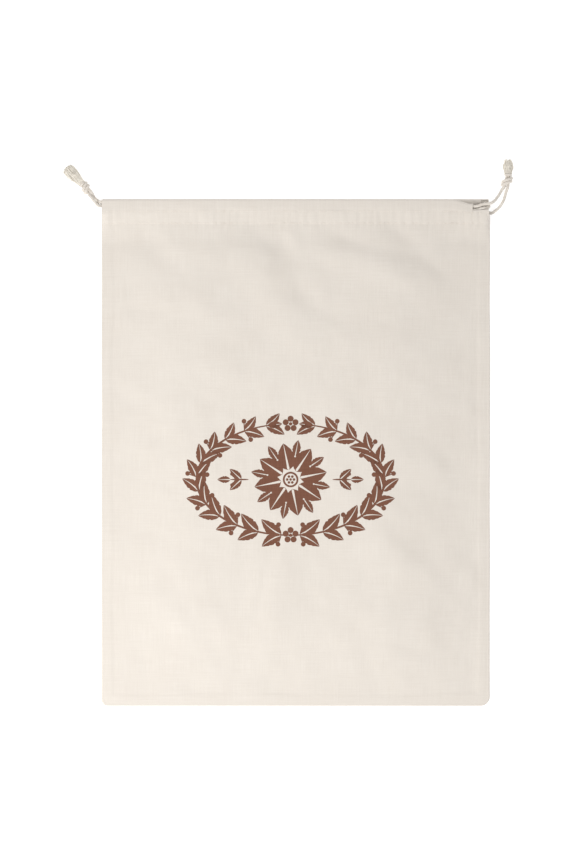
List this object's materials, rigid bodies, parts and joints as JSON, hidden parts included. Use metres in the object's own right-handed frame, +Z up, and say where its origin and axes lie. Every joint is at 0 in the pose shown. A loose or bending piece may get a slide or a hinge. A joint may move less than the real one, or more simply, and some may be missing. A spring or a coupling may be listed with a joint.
{
  "type": "linen bread bag",
  "caption": "Flat rectangular drawstring cloth bag lying on its back, with a hemmed cord channel at the mouth and knotted, frayed cord ends at both top corners.",
  "frame": {"origin": "on the surface that the bag lies on, under the middle of the bag without its cords", "axes": "+X across the bag's width to the side with the open slit, +Y along its length to the mouth, +Z up out of the front panel"},
  "size_m": [0.3471, 0.4232, 0.0148],
  "materials": {
    "cloth": "plain-woven, matte, undyed natural off-white",
    "cord": "twisted cotton cord, matte, natural"
  },
  "bodies": {
    "root": {"back_panel": "cloth", "front_panel": "cloth", "drawcord_left": "cord", "drawcord_right": "cord", "knot_left": "cord", "knot_right": "cord"}
  },
  "joints": []
}
